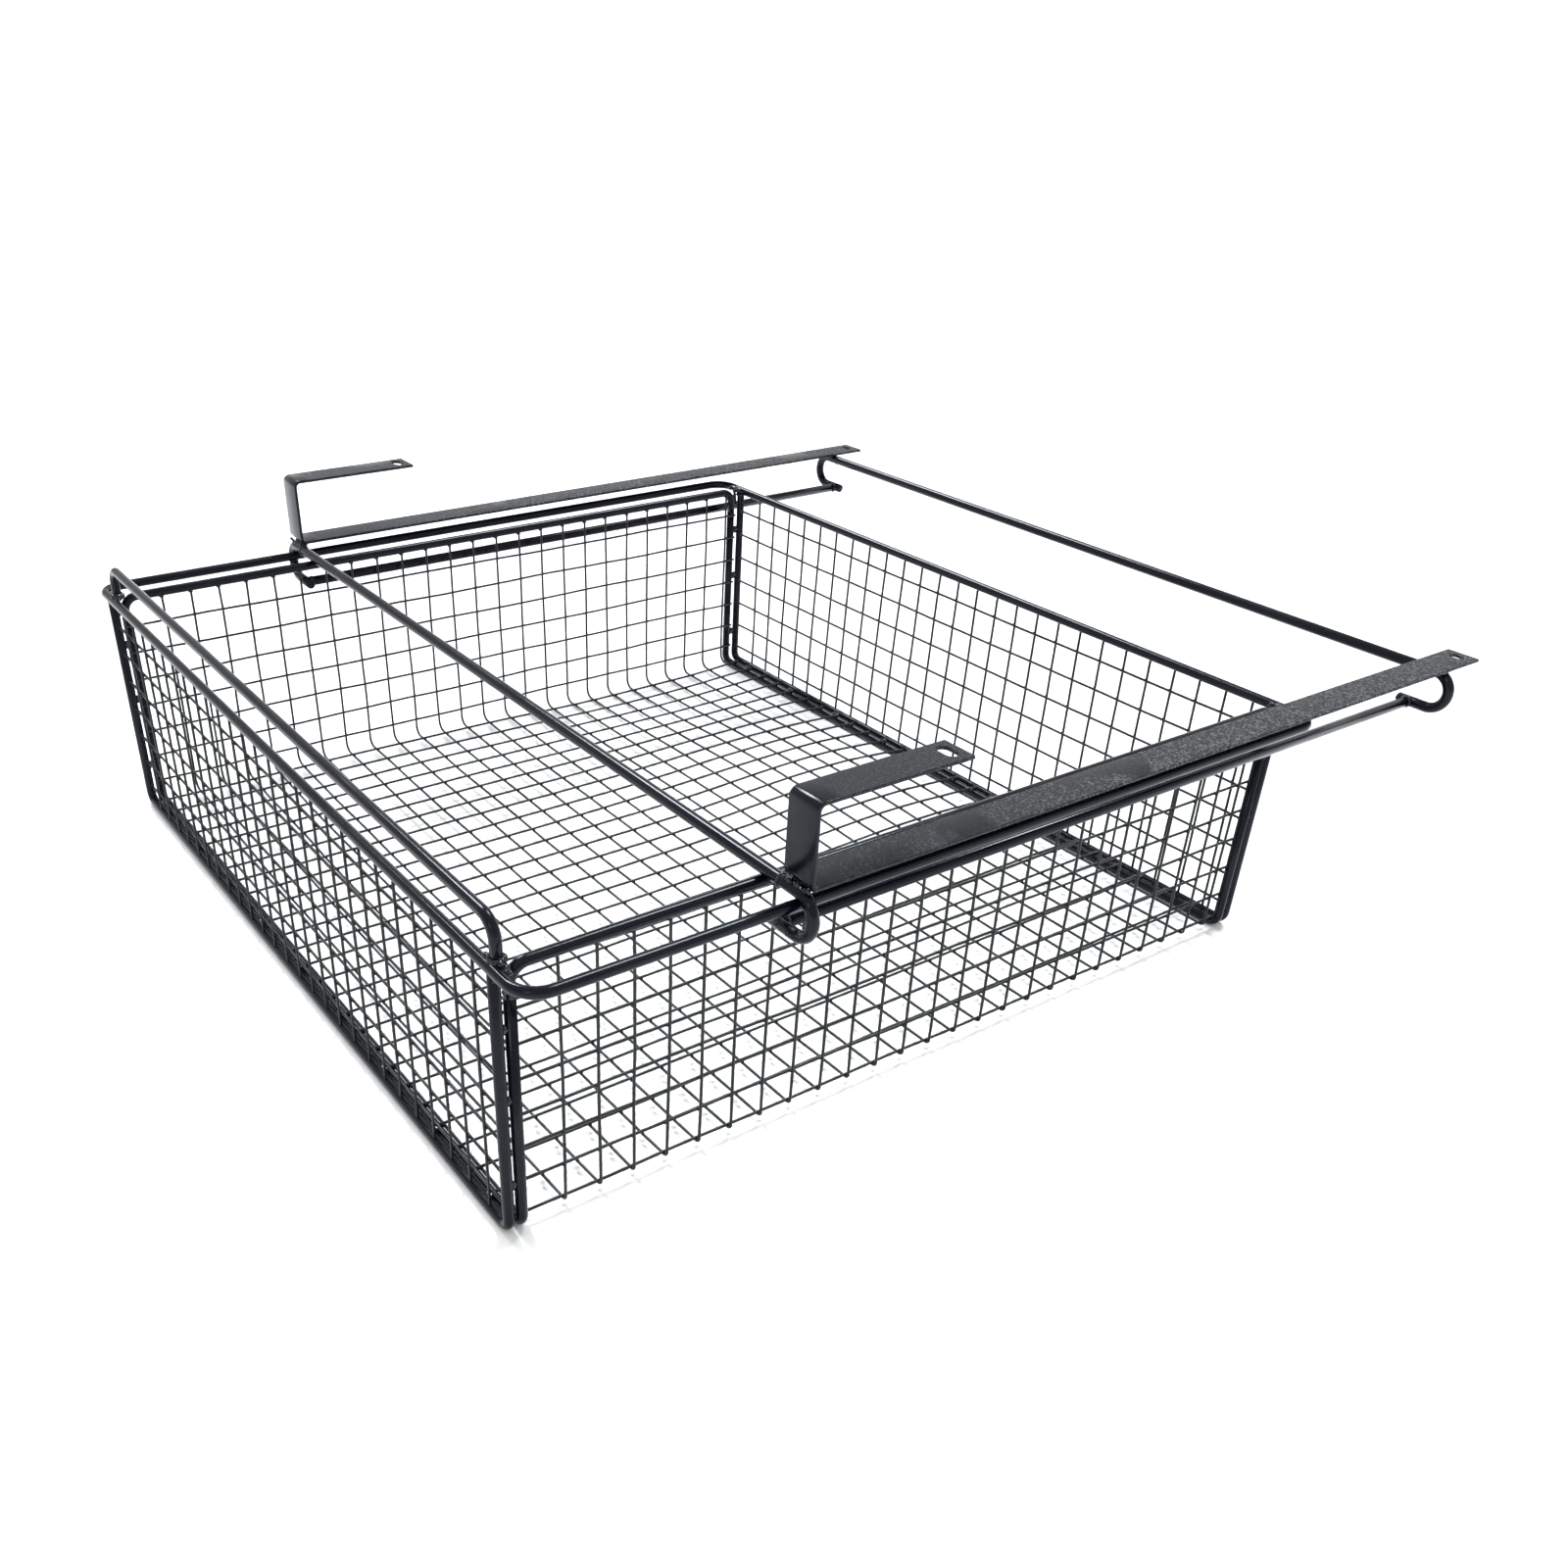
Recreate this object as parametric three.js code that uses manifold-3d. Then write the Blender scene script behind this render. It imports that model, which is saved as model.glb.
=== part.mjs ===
// Pull-out wire-mesh basket hung from a fixed frame that grips a shelf or desk edge.
// Millimetres. +X right, +Y from the handle to the rear, +Z up, z = 0 under the basket.
import * as THREE from 'three';
import { mergeGeometries, mergeVertices } from 'three/addons/utils/BufferGeometryUtils.js';
import Module from 'manifold-3d';

const wasm = await Module();
wasm.setup();
const { Manifold, Mesh } = wasm;

// Basket
const BASKET_FRONT_Y = -252;        // centre of the front rim bar
const BASKET_DEPTH = 397.5;         // rim bar to rim bar
const POST_X = 204;                 // corner posts and side rims, from the middle
const BASKET_ROD_R = 2.25;
const RIM_Z = 114.25;               // ring, side rims
const BAR_Z = BASKET_ROD_R;         // bottom bars
const FRONT_HOOP_SETBACK = 5.4;     // inner end hoop behind the front one
const REAR_HOOP_SETBACK = { left: 7.5, right: 4.9 };   // the rear one sits slightly askew
const CORNER_R = 5;                 // bends of the end hoops
const RIM_BEND_R = 7;               // side rim turning down into its posts
const RIM_LEG = 12;                 // from the rim's centre line to its turned-down end
const GUIDE_X = 224;                // outer guide rods of the ring
const RING_BEND_R = 11;
const HANDLE_RISE = 16.5;
const HANDLE_X = 202;
const HANDLE_SETBACK = 2.5;
const HANDLE_BEND_R = 8;

// Mesh: every second wire of the real 15 mm grid is drawn
const WIRE = 1.3;
const SHEET = 2 * WIRE;
const GRID = 30;
const SHEET_GRID = 30.2;
const FLOOR_LOW_Z = 3.2;
const WALL_IN_X = 200.45;
const WALL_END_CLEAR = 4.3;          // wall rows stop short of the rim's bends
const FIRST_HOOP_WIRE = 24;
const WALL_ROWS = { left: { top: 100.2, pitch: 29 }, right: { top: 107.65, pitch: 30.1 } };
const FLOOR_ROW_X = 185.75;
const PANEL_FIRST_X = -184.5;
const FRONT_ROW_LOW_Z = 10.5;
const REAR_ROW_LOW_Z = 11.7;

// Hanger frame
const FRAME_ROD_R = 2.5;
const FRONT_ROD_Y = -144;
const ROD_SPAN_Y = 377.5;
const HOOK_DROP = 17.5;             // cross rod to ledge rod
const HOOK_OUT_X = 232.5;           // outermost point of the hook's centre line
const HOOK_TIP_X = 209.5;
const LEDGE_X = 215;
const STRAP_X = 223.5;
const STRAP_WIDTH = 16;
const STRAP_T = 1.5;
const STRAP_REAR_Y = 254.25;
const TAB_TOP_Z = 156;
const TAB_LENGTH = 70;
const STRAP_INNER_R = 2;
const TAB_SLOT = { length: 9.2, width: 5 };
const REAR_SLOT = { length: 7, width: 4.2 };
const SLOT_FROM_END = 6;

const GAP = 0.3;                    // between separate pieces that touch
const CUT_MARGIN = 1;               // how far a cutter runs past the faces it opens
const ROD_SIDES = 8;
const BEND_STEPS = 4;

const RIM_TOP_Z = RIM_Z + BASKET_ROD_R;
const ROD_Z = RIM_TOP_Z + GAP + FRAME_ROD_R;
const STRAP_LOW_Z = ROD_Z + FRAME_ROD_R + GAP;
const REAR_ROD_Y = FRONT_ROD_Y + ROD_SPAN_Y;
const BASKET_REAR_Y = BASKET_FRONT_Y + BASKET_DEPTH;
const RISER_FRONT_Y = FRONT_ROD_Y - 0.5;

const rodBlack = new THREE.MeshStandardMaterial({ color: 0x1b1d21, metalness: 0.5, roughness: 0.35 });
const meshBlack = new THREE.MeshStandardMaterial({ color: 0x141518, metalness: 0.4, roughness: 0.5 });
const strapGrey = new THREE.MeshStandardMaterial({ color: 0x36383c, metalness: 0.4, roughness: 0.6 });

const object = new THREE.Group();
object.name = 'sliding_mesh_basket';

// The same surface with shared corners, as a closed body needs.
function closedBody(geometry) {
  geometry.deleteAttribute('normal');
  geometry.deleteAttribute('uv');
  return mergeVertices(geometry, 1e-4);
}

function add(name, geometry, material) {
  const body = closedBody(geometry);
  body.computeVertexNormals();
  const mesh = new THREE.Mesh(body, material);
  mesh.name = name;
  object.add(mesh);
}

// A three.js geometry as a solid of manifold-3d, and back again.
function toSolid(geometry) {
  const body = closedBody(geometry);
  const vertProperties = new Float32Array(body.attributes.position.array);
  const triVerts = new Uint32Array(body.index.array);
  return new Manifold(new Mesh({ numProp: 3, vertProperties, triVerts }));
}

function toGeometry(solid) {
  const mesh = solid.getMesh();
  const geometry = new THREE.BufferGeometry();
  geometry.setAttribute('position', new THREE.BufferAttribute(new Float32Array(mesh.vertProperties), 3));
  geometry.setIndex(new THREE.BufferAttribute(new Uint32Array(mesh.triVerts), 1));
  return geometry;
}

// The points of a path whose inner corners are rounded to radius `radius`.
function roundPath(corners, radius, steps = BEND_STEPS) {
  const points = [corners[0].clone()];
  for (let i = 1; i < corners.length - 1; i += 1) {
    const here = corners[i];
    const toPrevious = corners[i - 1].clone().sub(here).normalize();
    const toNext = corners[i + 1].clone().sub(here).normalize();
    const half = toPrevious.angleTo(toNext) / 2;
    const reach = radius / Math.tan(half);
    const inward = toPrevious.clone().add(toNext).normalize();
    const centre = inward.multiplyScalar(radius / Math.sin(half)).add(here);
    const start = toPrevious.clone().multiplyScalar(reach).add(here).sub(centre);
    const axis = new THREE.Vector3().crossVectors(toNext, toPrevious).normalize();
    const sweep = Math.PI - 2 * half;
    for (let s = 0; s <= steps; s += 1) {
      points.push(start.clone().applyAxisAngle(axis, sweep * s / steps).add(centre));
    }
  }
  points.push(corners[corners.length - 1].clone());
  return points;
}

// A path through given points, with one ring of the extruded section at each of them.
class PointPath extends THREE.Curve {
  constructor(points) {
    super();
    this.points = points;
  }

  getPointAt(u) {
    return this.points[Math.round(u * (this.points.length - 1))].clone();
  }

  getTangentAt(u) {
    const i = Math.round(u * (this.points.length - 1));
    const tangent = new THREE.Vector3();
    if (i > 0) tangent.add(this.points[i].clone().sub(this.points[i - 1]).normalize());
    if (i < this.points.length - 1) tangent.add(this.points[i + 1].clone().sub(this.points[i]).normalize());
    return tangent.normalize();
  }
}

// A round rod along a path of points.
function rod(points, radius) {
  const section = new THREE.Shape();
  for (let k = 0; k < ROD_SIDES; k += 1) {
    const angle = 2 * Math.PI * k / ROD_SIDES;
    const [x, y] = [radius * Math.cos(angle), radius * Math.sin(angle)];
    if (k === 0) section.moveTo(x, y);
    else section.lineTo(x, y);
  }
  section.closePath();
  return new THREE.ExtrudeGeometry(section, { steps: points.length - 1, extrudePath: new PointPath(points) });
}

const v = (x, y, z) => new THREE.Vector3(x, y, z);
const SIDES = [['left', -1], ['right', 1]];

// The clear stretches between wires at `centres`, run a little past both ends.
function clearSpans(centres, from, to) {
  const sides = centres.flatMap((c) => [c - WIRE / 2, c + WIRE / 2]);
  const edges = [from - CUT_MARGIN, ...sides, to + CUT_MARGIN];
  return Array.from({ length: centres.length + 1 }, (_, i) => [edges[2 * i], edges[2 * i + 1]]);
}

function box([x0, x1], [y0, y1], [z0, z1]) {
  const middle = [(x0 + x1) / 2, (y0 + y1) / 2, (z0 + z1) / 2];
  return new THREE.BoxGeometry(x1 - x0, y1 - y0, z1 - z0).translate(...middle);
}

// A flat grid of square wires: a plate with its cells and the notches round its edge cut out.
// `across` and `up` hold the wire centres of the two directions; every wire runs from `low` to `high`.
function grid(across, up, low, high) {
  const plate = box([low[0], high[0]], [low[1], high[1]], [0, SHEET]);
  const cells = [];
  for (const x of clearSpans(across, low[0], high[0])) {
    for (const y of clearSpans(up, low[1], high[1])) {
      cells.push(box(x, y, [-CUT_MARGIN, SHEET + CUT_MARGIN]));
    }
  }
  return toGeometry(toSolid(plate).subtract(toSolid(mergeGeometries(cells))));
}

function steps(first, pitch, count) {
  return Array.from({ length: count }, (_, i) => first + pitch * i);
}

// Two end hoops per end: the panel's own frame and the one the bent sheet is welded to.
const rimFrontY = BASKET_FRONT_Y + FRONT_HOOP_SETBACK;
const rimRearY = {
  left: BASKET_REAR_Y - REAR_HOOP_SETBACK.left,
  right: BASKET_REAR_Y - REAR_HOOP_SETBACK.right,
};
const panelHoopTop = RIM_Z - BASKET_ROD_R - GAP;
const sheetHoopTop = RIM_Z - RIM_LEG - GAP;
const hoops = [
  ['front_panel_hoop', BASKET_FRONT_Y, BASKET_FRONT_Y, panelHoopTop],
  ['front_sheet_hoop', rimFrontY, rimFrontY, sheetHoopTop],
  ['rear_sheet_hoop', rimRearY.left, rimRearY.right, sheetHoopTop],
  ['rear_panel_hoop', BASKET_REAR_Y, BASKET_REAR_Y, panelHoopTop],
];
for (const [name, leftY, rightY, top] of hoops) {
  const corners = [
    v(-POST_X, leftY, top),
    v(-POST_X, leftY, BAR_Z),
    v(POST_X, rightY, BAR_Z),
    v(POST_X, rightY, top),
  ];
  add(name, rod(roundPath(corners, CORNER_R), BASKET_ROD_R), rodBlack);
}

// Side rims, each turned down at both ends onto the sheet hoops' posts.
for (const [side, s] of SIDES) {
  const corners = [
    v(s * POST_X, rimFrontY, RIM_Z - RIM_LEG),
    v(s * POST_X, rimFrontY, RIM_Z),
    v(s * POST_X, rimRearY[side], RIM_Z),
    v(s * POST_X, rimRearY[side], RIM_Z - RIM_LEG),
  ];
  add(`side_rim_${side}`, rod(roundPath(corners, RIM_BEND_R), BASKET_ROD_R), rodBlack);
}

// Ring: front and rear rim bars with the guide rods standing off the side walls.
function halfRing(s) {
  const corners = [
    v(0, BASKET_FRONT_Y, RIM_Z),
    v(s * GUIDE_X, BASKET_FRONT_Y, RIM_Z),
    v(s * GUIDE_X, BASKET_REAR_Y, RIM_Z),
    v(0, BASKET_REAR_Y, RIM_Z),
  ];
  return toSolid(rod(roundPath(corners, RING_BEND_R), BASKET_ROD_R));
}
add('guide_ring', toGeometry(halfRing(-1).add(halfRing(1))), rodBlack);

const handleY = BASKET_FRONT_Y + HANDLE_SETBACK;
const handleFoot = RIM_TOP_Z + GAP;
const handleTop = RIM_Z + HANDLE_RISE;
const handleCorners = [
  v(-HANDLE_X, handleY, handleFoot),
  v(-HANDLE_X, handleY, handleTop),
  v(HANDLE_X, handleY, handleTop),
  v(HANDLE_X, handleY, handleFoot),
];
add('handle_loop', rod(roundPath(handleCorners, HANDLE_BEND_R), BASKET_ROD_R), rodBlack);

// Mesh panels
const sheetFrontY = rimFrontY + BASKET_ROD_R + GAP;
const sheetRearY = rimRearY.left - BASKET_ROD_R - GAP;
const hoopWires = steps(BASKET_FRONT_Y + FIRST_HOOP_WIRE, GRID, 13);
const sheetOut = WALL_IN_X + SHEET;
const floorRows = steps(FLOOR_ROW_X - 12 * SHEET_GRID, SHEET_GRID, 13);
const floorGrid = grid(floorRows, hoopWires, [-sheetOut, sheetFrontY], [sheetOut, sheetRearY]);
add('mesh_floor', floorGrid.translate(0, 0, FLOOR_LOW_Z), meshBlack);

const wallLow = FLOOR_LOW_Z + SHEET + GAP;
const wallHigh = RIM_Z - BASKET_ROD_R - GAP;
for (const [side, s] of SIDES) {
  const { top, pitch } = WALL_ROWS[side];
  const low = [rimFrontY + WALL_END_CLEAR, wallLow];
  const high = [rimRearY[side] - WALL_END_CLEAR, wallHigh];
  const flat = grid(hoopWires, steps(top - 3 * pitch, pitch, 4), low, high);
  const upright = flat.rotateX(Math.PI / 2).rotateZ(Math.PI / 2);
  add(`mesh_wall_${side}`, upright.translate(s > 0 ? WALL_IN_X : -sheetOut, 0, 0), meshBlack);
}

const panelWires = steps(PANEL_FIRST_X, GRID, 13);
const panelHalf = POST_X - BASKET_ROD_R - GAP;
const panelLow = BAR_Z + BASKET_ROD_R + GAP;
const panels = [
  ['mesh_front_panel', BASKET_FRONT_Y, FRONT_ROW_LOW_Z],
  ['mesh_rear_panel', BASKET_REAR_Y, REAR_ROW_LOW_Z],
];
for (const [name, y, lowRow] of panels) {
  const rows = steps(lowRow, GRID, 4);
  const flat = grid(panelWires, rows, [-panelHalf, panelLow], [panelHalf, wallHigh]);
  add(name, flat.rotateX(Math.PI / 2).translate(0, y + SHEET / 2, 0), meshBlack);
}

// Cross rods: each end curls out, down and back in to carry a ledge rod.
const hookR = HOOK_DROP / 2;
const rods = [['cross_rod_front', FRONT_ROD_Y], ['cross_rod_rear', REAR_ROD_Y]];
for (const [name, y] of rods) {
  const half = [];
  for (let s = 0; s <= 2 * BEND_STEPS; s += 1) {
    const angle = Math.PI * s / (2 * BEND_STEPS);
    half.push([HOOK_OUT_X - hookR + hookR * Math.sin(angle), ROD_Z - hookR + hookR * Math.cos(angle)]);
  }
  half.push([HOOK_TIP_X, ROD_Z - HOOK_DROP]);
  const points = half.map(([x, z]) => v(-x, y, z)).reverse();
  points.push(...half.map(([x, z]) => v(x, y, z)));
  add(name, rod(points, FRAME_ROD_R), rodBlack);
}

const ledgeStart = FRONT_ROD_Y + FRAME_ROD_R + GAP;
const ledgeEnd = REAR_ROD_Y - FRAME_ROD_R - GAP;
for (const [side, s] of SIDES) {
  const ends = [v(s * LEDGE_X, ledgeStart, ROD_Z - HOOK_DROP), v(s * LEDGE_X, ledgeEnd, ROD_Z - HOOK_DROP)];
  add(`ledge_rod_${side}`, rod(ends, FRAME_ROD_R), rodBlack);
}

// Straps: run, riser and tab from one flat bar, open towards the rear.
function strapGeometry() {
  const middle = [
    v(0, STRAP_REAR_Y, STRAP_LOW_Z + STRAP_T / 2),
    v(0, RISER_FRONT_Y + STRAP_T / 2, STRAP_LOW_Z + STRAP_T / 2),
    v(0, RISER_FRONT_Y + STRAP_T / 2, TAB_TOP_Z - STRAP_T / 2),
    v(0, RISER_FRONT_Y + TAB_LENGTH, TAB_TOP_Z - STRAP_T / 2),
  ];
  const line = roundPath(middle, STRAP_INNER_R + STRAP_T / 2, 5);
  const sideA = [];
  const sideB = [];
  for (let i = 0; i < line.length; i += 1) {
    const inward = i > 0 ? line[i].clone().sub(line[i - 1]).normalize() : null;
    const outward = i < line.length - 1 ? line[i + 1].clone().sub(line[i]).normalize() : null;
    const along = v(0, 0, 0);
    if (inward) along.add(inward);
    if (outward) along.add(outward);
    along.normalize();
    const stretch = inward && outward ? 1 / Math.cos(inward.angleTo(outward) / 2) : 1;
    const offset = STRAP_T / 2 * stretch;
    sideA.push(new THREE.Vector2(line[i].y - along.z * offset, line[i].z + along.y * offset));
    sideB.push(new THREE.Vector2(line[i].y + along.z * offset, line[i].z - along.y * offset));
  }
  const profile = new THREE.Shape(sideA.concat(sideB.reverse()));
  const bar = new THREE.ExtrudeGeometry(profile, { depth: STRAP_WIDTH, bevelEnabled: false });
  return bar.rotateX(Math.PI / 2).rotateZ(Math.PI / 2).translate(-STRAP_WIDTH / 2, 0, 0);
}

function slotCutter({ length, width }, x, y, z) {
  const reach = (length - width) / 2;
  const outline = new THREE.Shape();
  outline.absarc(reach, 0, width / 2, -Math.PI / 2, Math.PI / 2);
  outline.absarc(-reach, 0, width / 2, Math.PI / 2, 3 * Math.PI / 2);
  const depth = 2 * (STRAP_T + CUT_MARGIN);
  const cutter = new THREE.ExtrudeGeometry(outline, { depth, bevelEnabled: false, curveSegments: 8 });
  return toSolid(cutter.translate(x, y, z - depth / 2));
}

for (const [side, s] of SIDES) {
  const x = s * STRAP_X;
  const bar = toSolid(strapGeometry().translate(x, 0, 0));
  const tabSlot = slotCutter(TAB_SLOT, x, RISER_FRONT_Y + TAB_LENGTH - SLOT_FROM_END, TAB_TOP_Z);
  const rearSlot = slotCutter(REAR_SLOT, x, STRAP_REAR_Y - SLOT_FROM_END, STRAP_LOW_Z);
  add(`strap_${side}`, toGeometry(bar.subtract(tabSlot).subtract(rearSlot)), strapGrey);
}

// Weld fillets under the straps, ahead of and behind each cross rod. Each outline point is
// [distance out from the rod, height].
const FILLET = [[0, 0], [2.6, 0], [1.2, -0.9], [0.25, -2.1]];
const FILLET_LENGTH = 11;
const FILLET_GAP = 0.35;

function weldFillet(x, y, direction) {
  const outline = FILLET.map(([a, b]) => new THREE.Vector2(direction * (FRAME_ROD_R + FILLET_GAP + a), b));
  const section = new THREE.Shape(outline);
  const fillet = new THREE.ExtrudeGeometry(section, { depth: FILLET_LENGTH, bevelEnabled: false });
  fillet.rotateX(Math.PI / 2).rotateZ(Math.PI / 2);
  return fillet.translate(x - FILLET_LENGTH / 2, y, STRAP_LOW_Z - GAP);
}

for (const [side, s] of SIDES) {
  add(`weld_front_${side}`, weldFillet(s * STRAP_X, FRONT_ROD_Y, 1), rodBlack);
  add(`weld_rear_${side}`, weldFillet(s * STRAP_X, REAR_ROD_Y, -1), rodBlack);
}

export default object;
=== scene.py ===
"""Looks for a pull-out wire-mesh basket that hangs in a rod frame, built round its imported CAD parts."""

import math
import random

import bmesh
import bpy
import numpy as np
from mathutils import Matrix, Vector, noise


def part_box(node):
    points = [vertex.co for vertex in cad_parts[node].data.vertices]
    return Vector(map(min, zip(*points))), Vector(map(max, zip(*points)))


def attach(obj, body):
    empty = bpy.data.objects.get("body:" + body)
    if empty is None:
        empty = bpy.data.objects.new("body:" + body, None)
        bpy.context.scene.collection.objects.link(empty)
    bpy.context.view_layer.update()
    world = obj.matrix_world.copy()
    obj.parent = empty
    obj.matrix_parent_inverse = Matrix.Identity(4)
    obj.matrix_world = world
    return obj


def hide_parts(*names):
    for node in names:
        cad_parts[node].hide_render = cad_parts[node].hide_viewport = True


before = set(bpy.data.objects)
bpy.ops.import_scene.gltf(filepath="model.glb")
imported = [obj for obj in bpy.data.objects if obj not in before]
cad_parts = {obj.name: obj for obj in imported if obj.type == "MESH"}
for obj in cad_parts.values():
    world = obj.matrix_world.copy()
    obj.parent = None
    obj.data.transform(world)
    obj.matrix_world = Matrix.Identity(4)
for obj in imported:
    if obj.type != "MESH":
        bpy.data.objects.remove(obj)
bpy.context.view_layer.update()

MM = 0.001


def mm(*sizes):
    """Several sizes given in millimetres."""
    return tuple(size * MM for size in sizes)


# Bends and sections that the CAD boxes don't give
RING_BEND = 11 * MM
HANDLE_BEND = 8 * MM
HOOP_BEND = 5 * MM
RIM_BEND = 7 * MM
HOOK_LEG = 14.25 * MM
STRAP_T = 1.5 * MM
STRAP_BEND = 2.75 * MM
TAB_LENGTH = 70 * MM
TAB_SLOT = mm(9.2, 5)
REAR_SLOT = mm(7, 4.2)
SLOT_FROM_END = 6 * MM
WELD_GAP = 0.3 * MM                 # between CAD solids, filled here by a bead

# How finely round things are drawn
ROD_SIDES = 24
WIRE_SIDES = 8
BEND_STEPS = 10
ROD_CHAMFER = 0.2                   # eased end, as a share of the rod's radius
SPOT_DETAIL = 1
BEAD_DETAIL = 3

SIDES = (("left", -1), ("right", 1))


# ---------------------------------------------------------------- layout from the CAD boxes

ring_low, ring_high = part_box("guide_ring")
ROD_R = (ring_high.z - ring_low.z) / 2
RING_Z = (ring_high.z + ring_low.z) / 2
GUIDE_X = ring_high.x - ROD_R
FRONT_Y = ring_low.y + ROD_R
REAR_Y = ring_high.y - ROD_R

hoop_low, hoop_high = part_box("front_sheet_hoop")
POST_X = hoop_high.x - ROD_R
BAR_Z = hoop_low.z + ROD_R
FRONT_SHEET_Y = (hoop_low.y + hoop_high.y) / 2
rear_hoop_low, rear_hoop_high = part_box("rear_sheet_hoop")
REAR_SHEET_Y = {"left": rear_hoop_low.y + ROD_R, "right": rear_hoop_high.y - ROD_R}
JOIN_Z = (hoop_high.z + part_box("side_rim_left")[0].z) / 2

handle_low, handle_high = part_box("handle_loop")
HANDLE_X = handle_high.x - ROD_R
HANDLE_Y = (handle_low.y + handle_high.y) / 2
HANDLE_Z = handle_high.z - ROD_R

front_rod_low, front_rod_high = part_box("cross_rod_front")
rear_rod_low, rear_rod_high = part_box("cross_rod_rear")
FRAME_R = (front_rod_high.y - front_rod_low.y) / 2
ROD_Z = front_rod_high.z - FRAME_R
LEDGE_Z = front_rod_low.z + FRAME_R
HOOK_X = front_rod_high.x - FRAME_R
FRONT_ROD_Y = (front_rod_low.y + front_rod_high.y) / 2
REAR_ROD_Y = (rear_rod_low.y + rear_rod_high.y) / 2
ledge_low, ledge_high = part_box("ledge_rod_right")
LEDGE_X = (ledge_low.x + ledge_high.x) / 2

strap_low, strap_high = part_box("strap_right")
STRAP_X = (strap_low.x + strap_high.x) / 2
STRAP_WIDTH = strap_high.x - strap_low.x

wall_low, wall_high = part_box("mesh_wall_right")
floor_low, floor_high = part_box("mesh_floor")
front_panel_low, front_panel_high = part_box("mesh_front_panel")
rear_panel_low, rear_panel_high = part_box("mesh_rear_panel")


# ---------------------------------------------------------------- paths and skins


def unit(vector):
    return vector / np.linalg.norm(vector)


def round_path(corners, radius, steps=BEND_STEPS, closed=False):
    """The points of a path whose inner corners are rounded."""
    corners = [np.array(c, float) for c in corners]
    points = []
    count = len(corners)
    for i, here in enumerate(corners):
        if not closed and i in (0, count - 1):
            points.append(here)
            continue
        back = unit(corners[i - 1] - here)
        ahead = unit(corners[(i + 1) % count] - here)
        half = math.acos(float(np.clip(back @ ahead, -1, 1))) / 2
        centre = here + unit(back + ahead) * radius / math.sin(half)
        start = here + back * radius / math.tan(half) - centre
        axis = unit(np.cross(ahead, back))
        sweep = math.pi - 2 * half
        for s in range(steps + 1):
            angle = sweep * s / steps
            turned = start * math.cos(angle) + np.cross(axis, start) * math.sin(angle)
            points.append(centre + turned)
    return points


def resample(points, spacing):
    """The same path with extra points, so that no step is longer than spacing."""
    out = [points[0]]
    for a, b in zip(points, points[1:]):
        parts = max(1, math.ceil(np.linalg.norm(b - a) / spacing))
        out.extend(a + (b - a) * k / parts for k in range(1, parts + 1))
    return out


def straight(start, end, spacing):
    """Points along a straight line."""
    return resample([np.array(start), np.array(end)], spacing)


def path_ways(points, closed=False):
    """For each point, the unit directions in from the point before and out to the next."""
    count = len(points)
    ways = []
    for i in range(count):
        ins = unit(points[i] - points[i - 1]) if closed or i > 0 else None
        outs = unit(points[(i + 1) % count] - points[i]) if closed or i < count - 1 else None
        ways.append((outs if ins is None else ins, ins if outs is None else outs))
    return ways


def mitre(ins, outs):
    """How much a section widens where it's cut halfway round a bend."""
    return 1 / math.sqrt((1 + float(np.clip(ins @ outs, -0.9, 1))) / 2)


def rod_rings(points, radius, sides, closed):
    """A ring of corners round each point of a path, without twist."""
    ways = path_ways(points, closed)
    tangents = [unit(ins + outs) for ins, outs in ways]
    steep = abs(tangents[0][2]) >= 0.7
    guess = np.array([0.0, 1.0, 0.0] if steep else [0.0, 0.0, 1.0])
    side = unit(np.cross(tangents[0], guess))
    rings = []
    for point, tangent, (ins, outs) in zip(points, tangents, ways):
        side = unit(side - tangent * (side @ tangent))
        other = np.cross(tangent, side)
        bend = outs - ins
        inward = unit(bend) if np.linalg.norm(bend) > 1e-9 else None
        ring = []
        for k in range(sides):
            angle = 2 * math.pi * k / sides
            offset = (side * math.cos(angle) + other * math.sin(angle)) * radius
            if inward is not None:
                offset = offset + inward * (offset @ inward) * (mitre(ins, outs) - 1)
            ring.append(point + offset)
        rings.append(ring)
    return rings


def skin(rings, closed=False):
    """Vertices and faces over rings of equal length, with a cap at each end of an open one."""
    sides = len(rings[0])
    count = len(rings)
    faces = []
    for i in range(count if closed else count - 1):
        ahead = (i + 1) % count
        for k in range(sides):
            beside = (k + 1) % sides
            faces.append((i * sides + k, i * sides + beside, ahead * sides + beside, ahead * sides + k))
    if not closed:
        faces.append(tuple(reversed(range(sides))))
        faces.append(tuple((count - 1) * sides + k for k in range(sides)))
    return [tuple(p) for ring in rings for p in ring], faces


SPHERES = {}


def sphere(detail):
    """Vertices and faces of a unit icosphere."""
    if detail not in SPHERES:
        bm = bmesh.new()
        bmesh.ops.create_icosphere(bm, subdivisions=detail, radius=1)
        verts = [tuple(v.co) for v in bm.verts]
        SPHERES[detail] = (verts, [tuple(v.index for v in f.verts) for f in bm.faces])
        bm.free()
    return SPHERES[detail]


# ---------------------------------------------------------------- pieces


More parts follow.
